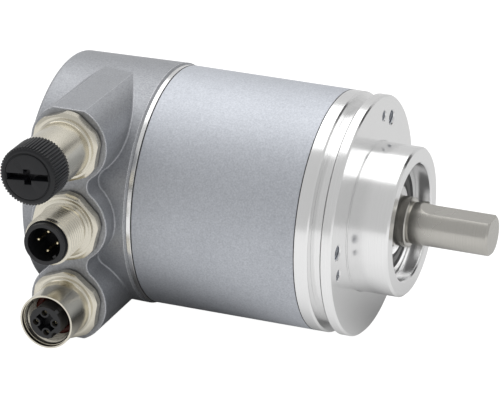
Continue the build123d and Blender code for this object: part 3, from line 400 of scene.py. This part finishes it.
def dust_cap(replaced):
    """One skin from the middle of the slotted face, out over the raised disc and the ribs, and
    back over the seal groove and the threaded plug to its hollow floor."""
    turn = cap_turns()
    count = len(turn)
    front = cap_front
    back = front - cap_length
    step = front - cap_step
    trough = front - cap_trough
    rib = np.mod(turn * cap_ribs / full_turn, 1.0) - 0.5
    crown = np.sqrt(np.clip(1 - (rib / 0.36) ** 2, 0, 1))
    face = [
        (front - slot_depth, 0.0),
        (front - slot_depth, plus_outline(turn, -0.1)),
        (front - slot_depth + 0.1, plus_outline(turn, 0.0)),
        (front - 0.14, plus_outline(turn, 0.0)),
        (front - 0.04, plus_outline(turn, 0.04)),
        (front, plus_outline(turn, 0.16)),
    ]
    bend = np.linspace(0, math.pi / 2, 6)
    rim = list(zip(
        front - cap_disc_round * (1 - np.cos(bend)),
        cap_disc - cap_disc_round + cap_disc_round * np.sin(bend),
    ))
    brim = [
        (trough, cap_disc + 0.03),
        (trough, cap_disc + 0.2),
        (step - 0.08, cap_disc + 0.3),
        (step - 0.01, cap_disc + 0.42),
        (step, cap_disc + 0.58),
        (step - 0.04, cap_root - 0.4),
        (step - 0.14, cap_root - 0.18),
        (step - 0.3, cap_root - 0.02),
        (step - 0.36, cap_root + 0.4 * cap_rib * crown),
        (step - 0.46, cap_root + 0.85 * cap_rib * crown),
        (step - 0.6, cap_root + cap_rib * crown),
        (back + 0.3, cap_root + cap_rib * crown),
        (back + 0.06, cap_root + 0.6 * cap_rib * crown),
        (back, cap_root - 0.05),
    ]
    groove_front = back + 0.58
    groove = [
        (back, seal_outer),
        (groove_front, seal_outer),
        (groove_front, seal_inner),
        (back, seal_inner),
        (back, cap_plug),
    ]
    plug_end = -cap_high[1]
    thread = thread_rows(turn, plug_end + 0.3, back - 0.9, cap_plug, cap_plug_thread, cap_plug, (1.5, 1.5))
    hollow = [
        (plug_end, cap_plug),
        (plug_end, cap_plug - cap_plug_wall),
        (back - 0.2, cap_plug - cap_plug_wall),
        (back - 0.2, 0.0),
    ]
    profile = np.concatenate([
        profile_grid(face, count),
        profile_grid(rim, count),
        profile_grid(brim, count),
        profile_grid(groove, count),
        profile_grid(thread[::-1], count),
        profile_grid(hollow, count),
    ])
    grid = round_port(profile, turn, port_heights["upper"])
    return make_piece("ribbed_dust_cap", [(grid, False)], "dust_cap", "cap_plastic", [replaced])


def bearing_shields(replaced):
    """Seals of both bearings: flat rings with a raised bead, a groove and a thin lip."""
    turn = even_turns(200)
    low, high = box("bearing_seals")
    inner = box("bearing_inner_rings")[1][2] + 0.02
    outer = high[2]
    bearing_low, bearing_high = box("bearing_outer_rings")
    inset = bearing_high[0] - high[0]
    section = [
        (0.0, outer),
        (0.0, outer - 0.35),
        (-0.16, outer - 0.45),
        (-0.16, outer - 0.8),
        (-0.02, outer - 0.9),
        (-0.02, inner + 1.15),
        (-0.2, inner + 1.0),
        (-0.2, inner + 0.6),
        (-0.05, inner + 0.5),
        (-0.05, inner + 0.12),
        (-0.2, inner),
        (-shield_thickness, inner),
        (-shield_thickness, outer),
    ]
    grids = []
    for face, side in (
        (bearing_high[0] - inset, 1.0),
        (bearing_high[0] - bearing_width + inset, -1.0),
        (bearing_low[0] + bearing_width - inset, 1.0),
        (bearing_low[0] + inset, -1.0),
    ):
        rows = [(face + side * along, radius) for along, radius in section]
        profile = soften(rows, 0.05, len(turn))
        grids.append((round_shaft(profile, turn), True))
    return make_piece("bearing_shields", grids, "housing", "seal_plate", [replaced])


def sleeve_joint_shadows():
    """Thin dark bands at the two joints of the sleeve, standing a hundredth of a millimetre proud, as
    painted shade in the seams between chamfered edges.
    """
    turn = even_turns(round_steps)
    low, high = box("housing_sleeve")
    grids = []
    for middle in (low[0], high[0]):
        section = [
            (middle - joint_half_width, high[2] - joint_depth),
            (middle - joint_half_width, high[2] + joint_proud),
            (middle + joint_half_width, high[2] + joint_proud),
            (middle + joint_half_width, high[2] - joint_depth),
        ]
        grids.append((round_shaft(profile_grid(section, len(turn)), turn), True))
    # The dark bands are painted shade in the joints, given the black rubber finish
    return make_piece("sleeve_joint_shadows", grids, "housing", "black_rubber")


def pilot_root():
    """Concave corner at the foot of the pilot: a quarter circle between cylinder and face."""
    turn = even_turns(round_steps)
    size = pilot_root_round
    radius = pilot_radius
    bend = np.linspace(0, math.pi / 2, 6)
    curve = list(zip(size - size * np.sin(bend), radius + size - size * np.cos(bend)))
    section = curve + [(-0.02, radius + size), (-0.02, radius - 0.02), (size, radius - 0.02)]
    grid = round_shaft(profile_grid(section, len(turn)), turn)
    return make_piece("pilot_root", [(grid, True)], "housing", "turned_aluminium")


def hole_threads():
    """Thin threaded linings of the six screw holes in the flange's face, a helix on the inside."""
    turn = even_turns(48)
    grids = []
    for radius, depth, lead, first in screw_holes:
        wall = radius - 0.005
        back = radius + 0.06
        for number in range(3):
            angle = math.radians(first + 120 * number)
            centre = (screw_circle * math.cos(angle), screw_circle * math.sin(angle))
            thread = thread_rows(
                turn, screw_thread_back, screw_thread_front, wall, radius - depth, wall, (1.0, 1.0), lead
            )
            lining = [(screw_thread_front, back), (screw_thread_back, back)]
            profile = profile_grid(thread + lining, len(turn))
            grids.append((round_shaft(profile, turn, centre), True))
    return make_piece("screw_hole_threads", grids, "housing", "blasted_aluminium")


# Shader nodes

def feed(tree, socket, value):
    """Links an output to a socket, or sets a constant on it."""
    if isinstance(value, bpy.types.NodeSocket):
        tree.links.new(value, socket)
    else:
        socket.default_value = value


def add_node(tree, kind, inputs, **settings):
    """New node with its settings, and with its inputs fed by label or by number."""
    node = tree.nodes.new("ShaderNode" + kind)
    for name, value in settings.items():
        setattr(node, name, value)
    for label, value in inputs.items():
        feed(tree, node.inputs[label], value)
    return node


def math_node(tree, operation, *values):
    """Result of one operation on the values."""
    return add_node(tree, "Math", dict(enumerate(values)), operation=operation).outputs[0]


def map_range(tree, value, first, last, low=0.0, high=1.0, interpolation="LINEAR"):
    """Value carried from one range to another, and held at the ends."""
    inputs = {"Value": value, "From Min": first, "From Max": last, "To Min": low, "To Max": high}
    return add_node(tree, "MapRange", inputs, interpolation_type=interpolation).outputs["Result"]


def mix_values(tree, share, first, second):
    """Value between two by a share."""
    return add_node(tree, "Mix", {"Factor": share, "A": first, "B": second}).outputs["Result"]


def mix_colours(tree, share, first, second):
    """Colour between two by a share. Sockets 6 and 7 are the node's colours, and 2 is its result."""
    return add_node(tree, "Mix", {"Factor": share, 6: first, 7: second}, data_type="RGBA").outputs[2]


def place_of(tree, kind):
    """Place on the surface in that kind of coordinates."""
    return tree.nodes.new("ShaderNodeTexCoord").outputs[kind]


def group(name, inputs, outputs):
    """Empty node group with those sockets, and its input and output nodes."""
    tree = bpy.data.node_groups.new(name, "ShaderNodeTree")
    for label, kind, value in inputs:
        socket = tree.interface.new_socket(name=label, in_out="INPUT", socket_type="NodeSocket" + kind)
        if value is not None:
            socket.default_value = value
    for label, kind in outputs:
        tree.interface.new_socket(name=label, in_out="OUTPUT", socket_type="NodeSocket" + kind)
    return tree, tree.nodes.new("NodeGroupInput").outputs, tree.nodes.new("NodeGroupOutput").inputs


def grain_group():
    """Fine noise round 0.5 with a little coarser noise in it."""
    tree, given, result = group(
        "Fine grain",
        [("Vector", "Vector", None), ("Scale", "Float", 4000.0), ("Coarse share", "Float", 0.3)],
        [("Value", "Float")],
    )
    wide = math_node(tree, "MULTIPLY", given["Scale"], 0.22)
    noises = []
    for scale, detail in ((given["Scale"], 3.0), (wide, 2.0)):
        inputs = {"Vector": given["Vector"], "Scale": scale, "Detail": detail}
        noises.append(add_node(tree, "TexNoise", inputs).outputs["Fac"])
    tree.links.new(mix_values(tree, given["Coarse share"], *noises), result["Value"])
    return tree


def turning_group():
    """Lathe marks: noise in one dimension, along x on a cylinder and along the radius on a face."""
    tree, given, result = group(
        "Turning marks",
        [("Vector", "Vector", None), ("Scale", "Float", 3000.0)],
        [("Value", "Float")],
    )
    split = add_node(tree, "SeparateXYZ", {"Vector": given["Vector"]}).outputs
    squares = math_node(
        tree,
        "ADD",
        math_node(tree, "MULTIPLY", split["Y"], split["Y"]),
        math_node(tree, "MULTIPLY", split["Z"], split["Z"]),
    )
    place = math_node(tree, "ADD", split["X"], math_node(tree, "SQRT", squares))
    inputs = {"W": math_node(tree, "MULTIPLY", place, given["Scale"]), "Scale": 1.0, "Detail": 2.5}
    marks = add_node(tree, "TexNoise", inputs, noise_dimensions="1D")
    tree.links.new(marks.outputs["Fac"], result["Value"])
    return tree


def tone_group():
    """Colour between two tones by a value stretched about its middle."""
    tree, given, result = group(
        "Two tones",
        [
            ("Value", "Float", 0.5),
            ("Contrast", "Float", 1.5),
            ("Dark", "Color", None),
            ("Light", "Color", None),
        ],
        [("Color", "Color")],
    )
    offset = math_node(tree, "SUBTRACT", given["Value"], 0.5)
    share = math_node(tree, "ADD", math_node(tree, "MULTIPLY", offset, given["Contrast"]), 0.5)
    tree.links.new(mix_colours(tree, share, given["Dark"], given["Light"]), result["Color"])
    return tree


def smudge_group():
    """Slow change of roughness between two values, as of handled metal."""
    tree, given, result = group(
        "Slow change",
        [
            ("Vector", "Vector", None),
            ("Scale", "Float", 60.0),
            ("Low", "Float", 0.3),
            ("High", "Float", 0.4),
        ],
        [("Value", "Float")],
    )
    noise = add_node(tree, "TexNoise", {"Vector": given["Vector"], "Scale": given["Scale"], "Detail": 4.0})
    value = map_range(tree, noise.outputs["Fac"], 0.3, 0.7, given["Low"], given["High"])
    tree.links.new(value, result["Value"])
    return tree


def edge_group():
    """Rounded normal at hard edges, and a mask that is 1 on the edge itself, which carries a painted
    highlight where a finish gives an edge colour.
    """
    tree, given, result = group(
        "Broken edges",
        [("Radius", "Float", 0.0002)],
        [("Mask", "Float"), ("Normal", "Vector")],
    )
    rounded = add_node(tree, "Bevel", {"Radius": given["Radius"]}, samples=4).outputs["Normal"]
    flat = tree.nodes.new("ShaderNodeNewGeometry").outputs["Normal"]
    product = add_node(tree, "VectorMath", {0: rounded, 1: flat}, operation="DOT_PRODUCT")
    tree.links.new(map_range(tree, product.outputs["Value"], 0.995, 0.93), result["Mask"])
    tree.links.new(rounded, result["Normal"])
    return tree


groups = {
    "grain": grain_group(),
    "turning": turning_group(),
    "tone": tone_group(),
    "smudge": smudge_group(),
    "edge": edge_group(),
}


# Materials

def grey(value):
    """Neutral colour of that brightness."""
    return (value, value, value, 1.0)


def finish(
    name,
    dark,
    light,
    metallic=0.0,
    rough=(0.4, 0.5),
    grain=5200,
    coarse=0.4,
    contrast=1.4,
    bump=0.2,
    depth=0.00002,
    turning=None,
    edge=0.0001,
    edge_highlight=None,
    place=None,
    extra=None,
):
    """Two tones by grain, roughness that drifts between two values, lathe marks if a scale and a share
    are given, and edges broken at that radius in metres, with a painted highlight of that colour along
    them if a colour is given."""
    material = bpy.data.materials.new(name)
    material.use_nodes = True
    tree = material.node_tree
    shader = tree.nodes["Principled BSDF"]
    where = place_of(tree, "Object")
    if place:
        inputs = {"Vector": where, "Location": place[0], "Rotation": place[1]}
        where = add_node(tree, "Mapping", inputs, vector_type="TEXTURE").outputs["Vector"]

    def use(key, inputs):
        return add_node(tree, "Group", inputs, node_tree=groups[key]).outputs

    pattern = use("grain", {"Vector": where, "Scale": grain, "Coarse share": coarse})["Value"]
    if turning:
        marks = use("turning", {"Vector": where, "Scale": turning[0]})["Value"]
        pattern = mix_values(tree, turning[1], pattern, marks)
    colour = use("tone", {"Value": pattern, "Contrast": contrast, "Dark": dark, "Light": light})["Color"]
    edges = use("edge", {"Radius": edge})
    # Painted highlight: a light colour mixed in along hard edges by the edge mask
    if edge_highlight:
        colour = mix_colours(tree, edges["Mask"], colour, edge_highlight)
    drift = use("smudge", {"Vector": where, "Scale": 90.0, "Low": rough[0], "High": rough[1]})["Value"]
    relief = {"Strength": bump, "Distance": depth, "Height": pattern, "Normal": edges["Normal"]}
    normal = add_node(tree, "Bump", relief).outputs["Normal"]
    inputs = {"Base Color": colour, "Metallic": metallic, "Roughness": drift, "Normal": normal}
    for label, value in (inputs | (extra or {})).items():
        feed(tree, shader.inputs[label], value)
    return material


# The ports' axes run along Y, so their lathe marks are taken in a frame turned by a right angle
port_place = ((port_x * mm, 0.0, 0.0), (0.0, 0.0, math.pi / 2))

finishes = {
    "turned_aluminium": finish(
        "Turned aluminium", grey(0.80), grey(0.92), metallic=1.0, rough=(0.16, 0.24), grain=5000,
        contrast=1.2, bump=0.05, depth=0.00001, turning=(5200, 0.8), edge=0.0002,
    ),
    "blasted_aluminium": finish(
        "Blasted aluminium", (0.47, 0.49, 0.53, 1), (0.63, 0.65, 0.69, 1), metallic=1.0,
        rough=(0.58, 0.62), grain=2600, coarse=0.15, contrast=2.4, bump=0.3, depth=0.00003, edge=0.00012,
    ),
    # The cast housing's edges carry a painted highlight in a near-white colour
    "cast_housing": finish(
        "Cast housing", (0.285, 0.293, 0.312, 1), (0.43, 0.44, 0.462, 1), metallic=0.85,
        rough=(0.46, 0.52), grain=2600, coarse=0.15, contrast=2.4, bump=0.4, depth=0.00004, edge=0.00014,
        edge_highlight=(0.95, 0.96, 0.98, 1),
    ),
    "nickel_plate": finish(
        "Nickel plate", (0.64, 0.605, 0.51, 1), (0.76, 0.725, 0.63, 1), metallic=1.0, rough=(0.20, 0.26),
        grain=5000, coarse=0.5, contrast=0.8, bump=0.03, depth=0.00001, turning=(4200, 0.2), edge=0.00003,
        place=port_place,
    ),
    "stainless_steel": finish(
        "Stainless steel", (0.45, 0.438, 0.405, 1), (0.575, 0.56, 0.525, 1), metallic=1.0,
        rough=(0.20, 0.28), coarse=0.3, contrast=1.6, bump=0.12, depth=0.00001, turning=(6500, 0.75),
        edge=0.00004,
    ),
    "bearing_steel": finish(
        "Bearing steel", grey(0.60), grey(0.76), metallic=1.0, rough=(0.14, 0.22), grain=5000, coarse=0.3,
        contrast=1.2, bump=0.05, depth=0.00001, turning=(5200, 0.7),
    ),
    "zinc_steel": finish(
        "Zinc plated steel", (0.56, 0.57, 0.60, 1), (0.74, 0.75, 0.78, 1), metallic=1.0,
        rough=(0.26, 0.38), grain=3600, contrast=1.6, bump=0.15,
    ),
    "brass": finish(
        "Brass", (0.66, 0.48, 0.20, 1), (0.82, 0.63, 0.32, 1), metallic=1.0, rough=(0.2, 0.3), grain=4600,
        bump=0.08, depth=0.00001, turning=(4600, 0.6),
    ),
    "gold_plate": finish(
        "Gold plate", (0.90, 0.76, 0.48, 1), (1.0, 0.90, 0.64, 1), metallic=1.0, rough=(0.16, 0.24),
        contrast=1.2, bump=0.05, depth=0.00001, edge=0.00008,
    ),
    "magnet": finish(
        "Sintered magnet", grey(0.30), grey(0.42), metallic=1.0, rough=(0.34, 0.44), coarse=0.3,
        contrast=1.6,
    ),
    "cap_plastic": finish(
        "Cap plastic", (0.0075, 0.008, 0.0098, 1), (0.0115, 0.012, 0.0142, 1), rough=(0.26, 0.34),
        bump=0.10, edge=0.00006, extra={"Specular IOR Level": 0.36},
    ),
    "insert_plastic": finish(
        "Insert plastic", (0.006, 0.0065, 0.008, 1), (0.010, 0.0105, 0.0125, 1), rough=(0.38, 0.48),
        grain=5600, bump=0.16, edge=0.00008,
    ),
    "black_plastic": finish(
        "Black plastic", grey(0.014), grey(0.028), rough=(0.46, 0.58), grain=4200, depth=0.00003,
    ),
    "chip_resin": finish(
        "Moulding resin", grey(0.010), grey(0.020), rough=(0.5, 0.62), grain=6500, coarse=0.2,
        contrast=1.6, edge=0.00006,
    ),
    "black_rubber": finish(
        "Black rubber", grey(0.008), grey(0.016), rough=(0.52, 0.66), coarse=0.5, contrast=1.5, bump=0.25,
        depth=0.00003, edge=0.00006,
    ),
    "red_rubber": finish(
        "Red rubber", (0.10, 0.016, 0.008, 1), (0.17, 0.030, 0.014, 1), rough=(0.38, 0.5), coarse=0.5,
        contrast=1.5, depth=0.00003, edge=0.00006,
    ),
    "seal_plate": finish(
        "Seal plate", grey(0.03), grey(0.055), rough=(0.36, 0.46), grain=4600, bump=0.12,
        turning=(3600, 0.5), edge=0.00006,
    ),
    "gear_plastic": finish(
        "Gear plastic", (0.68, 0.66, 0.58, 1), (0.80, 0.78, 0.70, 1), rough=(0.36, 0.48), grain=4200,
        coarse=0.5, contrast=1.2, bump=0.1, depth=0.00003,
        extra={"Subsurface Weight": 0.1, "Subsurface Scale": 0.002},
    ),
    "cage_plastic": finish(
        "Cage plastic", (0.52, 0.42, 0.24, 1), (0.66, 0.55, 0.34, 1), rough=(0.4, 0.52), grain=4200,
        coarse=0.5, bump=0.15, depth=0.00003,
    ),
    "circuit_board": finish(
        "Circuit board", (0.008, 0.085, 0.030, 1), (0.016, 0.140, 0.055, 1), rough=(0.28, 0.38),
        grain=2600, coarse=0.6, contrast=1.6, bump=0.12, depth=0.00003, edge=0.00006,
        extra={"Coat Weight": 0.3},
    ),
    "lamp_resin": finish(
        "Lamp resin", (0.70, 0.74, 0.78, 1), (0.84, 0.87, 0.90, 1), rough=(0.08, 0.14), grain=2600,
        coarse=0.5, contrast=1.2, bump=0.05, extra={"Transmission Weight": 0.5},
    ),
    "disc_glass": finish(
        "Disc glass", (0.60, 0.72, 0.72, 1), (0.80, 0.90, 0.90, 1), rough=(0.03, 0.08), coarse=0.3,
        contrast=1.2, bump=0.02, depth=0.00001, turning=(5200, 0.9), edge=0.00005,
        extra={"Transmission Weight": 0.7},
    ),
}

for entry in frame["record"]["subparts"]:
    for socket in nodes[entry["node"]].material_slots:
        socket.material = finishes[entry["material_slot"]]


# The pieces

socket_shell("upper", "upper_socket_shell")
socket_shell("lower", "lower_socket_shell")
plug_shell("middle", "middle_plug_shell")
rounded_pins("middle_plug_pins")
dust_cap("dust_cap")
bearing_shields("bearing_seals")
sleeve_joint_shadows()
pilot_root()
hole_threads()


# Floor, light and camera

def floor_plane():
    """Wide level sheet whose far part bends up, height growing with the square of the distance. It
    glows white to the camera; the glow that reflections see is painted light, brighter in front than
    behind, with a painted shadow inside an ellipse under the object."""
    ground = cad_low[2] - 0.0004
    bend_start = 1.5
    x = np.linspace(-3.0, 3.0, 41)
    y = np.linspace(-2.0, 3.0, 61)
    across, back = np.meshgrid(x, y)
    height = ground + 0.5 * np.clip(back - bend_start, 0, None) ** 2
    points = np.stack([across, back, height], axis=-1).reshape(-1, 3)
    row = np.arange(len(y) - 1)[:, None]
    column = np.arange(len(x) - 1)[None, :]
    first = row * len(x) + column
    faces = np.stack([first, first + 1, first + len(x) + 1, first + len(x)], axis=-1).reshape(-1, 4)
    mesh = bpy.data.meshes.new("floor")
    mesh.from_pydata(points.tolist(), [], faces.tolist())
    floor = bpy.data.objects.new("floor", mesh)
    bpy.context.scene.collection.objects.link(floor)
    material = bpy.data.materials.new("Pale floor")
    material.use_nodes = True
    tree = material.node_tree
    where = place_of(tree, "Object")
    # Painted shadow: inside this ellipse under the object the glow that reflections see is dimmed
    shadow_ellipse = {
        "Vector": where,
        "Location": (-0.049, -0.006, ground),
        "Rotation": (0.0, 0.0, 0.464),
        "Scale": (0.059, 0.025, 1.0),
    }
    place = add_node(tree, "Mapping", shadow_ellipse, vector_type="TEXTURE").outputs["Vector"]
    distance = add_node(tree, "VectorMath", {0: place}, operation="LENGTH").outputs["Value"]
    shade = map_range(tree, distance, 0.6, 1.6, 0.04, 1.0, "SMOOTHSTEP")
    # Painted light: the glow that reflections see is brighter in front of the object than behind it
    depth = add_node(tree, "SeparateXYZ", {"Vector": where}).outputs["Y"]
    slope = map_range(tree, depth, -0.04, 0.03, 0.80, 0.58)
    even = math_node(tree, "MULTIPLY", slope, shade)
    to_camera = tree.nodes.new("ShaderNodeLightPath").outputs["Is Camera Ray"]
    inputs = {
        "Base Color": grey(0.14),
        "Roughness": 0.9,
        "Specular IOR Level": 0.1,
        "Emission Color": grey(1.0),
        "Emission Strength": math_node(tree, "MAXIMUM", to_camera, even),
    }
    for label, value in inputs.items():
        feed(tree, tree.nodes["Principled BSDF"].inputs[label], value)
    mesh.materials.append(material)


def room():
    """Even light: mid-grey before the object, brighter behind it but for a black gap to the right of
    straight behind, 29 to 54 degrees round and wider low down, and white to the camera."""
    world = bpy.data.worlds.new("room")
    world.use_nodes = True
    tree = world.node_tree
    split = add_node(tree, "SeparateXYZ", {"Vector": place_of(tree, "Generated")}).outputs
    light = map_range(tree, split["Y"], -0.12, 0.12, 0.60, 0.66)
    bearing = math_node(tree, "ARCTAN2", split["X"], split["Y"])
    gap = 0.0
    for first, last, bottom, top in ((0.51, 0.94, -0.05, 0.85), (0.15, 0.94, -0.05, 0.27)):
        window = 1.0
        for value, low, high in ((bearing, first, last), (split["Z"], bottom, top)):
            inside = math_node(tree, "COMPARE", value, (low + high) / 2, (high - low) / 2)
            window = math_node(tree, "MULTIPLY", window, inside)
        gap = math_node(tree, "MAXIMUM", gap, window)
    shade = math_node(tree, "SUBTRACT", 1.0, math_node(tree, "MULTIPLY", gap, 0.93))
    even = math_node(tree, "MULTIPLY", light, shade)
    to_camera = tree.nodes.new("ShaderNodeLightPath").outputs["Is Camera Ray"]
    backdrop = tree.nodes["Background"]
    feed(tree, backdrop.inputs["Color"], grey(1.0))
    feed(tree, backdrop.inputs["Strength"], mix_values(tree, to_camera, even, 1.0))
    bpy.context.scene.world = world


def softbox(name, centre, size, radiance, aim):
    """Rectangular light of an even radiance, facing its aim, and not seen by the camera."""
    lamp = bpy.data.lights.new(name, "AREA")
    lamp.shape = "RECTANGLE"
    lamp.size, lamp.size_y = size
    lamp.energy = math.pi * radiance * size[0] * size[1]
    light = bpy.data.objects.new(name, lamp)
    light.location = centre
    direction = Vector(aim) - Vector(centre)
    light.rotation_mode = "QUATERNION"
    light.rotation_quaternion = direction.to_track_quat("-Z", "Y")
    light.visible_camera = False
    bpy.context.scene.collection.objects.link(light)
    return light


def photo_camera():
    """Camera found by fitting known sizes to the photograph: azimuth, elevation and roll, then the
    object's origin to the camera's right and up and its distance."""
    azimuth, elevation, roll = (math.radians(angle) for angle in (21.007, 21.861, 1.180))
    offset = Vector((-29.075, 3.752, 826.04)) * mm
    right = Vector((math.cos(azimuth), math.sin(azimuth), 0))
    back = Vector((
        math.sin(azimuth) * math.cos(elevation),
        -math.cos(azimuth) * math.cos(elevation),
        math.sin(elevation),
    ))
    up = back.cross(right)
    rolled_right = math.cos(roll) * right + math.sin(roll) * up
    rolled_up = -math.sin(roll) * right + math.cos(roll) * up
    turned = Matrix((rolled_right, rolled_up, back)).transposed()
    data = bpy.data.cameras.new("camera")
    data.sensor_fit = "HORIZONTAL"
    data.sensor_width = 36.0
    data.lens = 250.8
    data.clip_start = 0.01
    data.clip_end = 100.0
    camera = bpy.data.objects.new("camera", data)
    camera.matrix_world = Matrix.Translation(turned @ offset) @ turned.to_4x4()
    bpy.context.scene.collection.objects.link(camera)
    bpy.context.scene.camera = camera


floor_plane()
room()
softbox("overhead_softbox", (-0.20, 0.165, 0.45), (1.10, 0.53), 1.2, (-0.20, 0.165, 0.0))
photo_camera()
bpy.context.scene.view_settings.view_transform = "Standard"
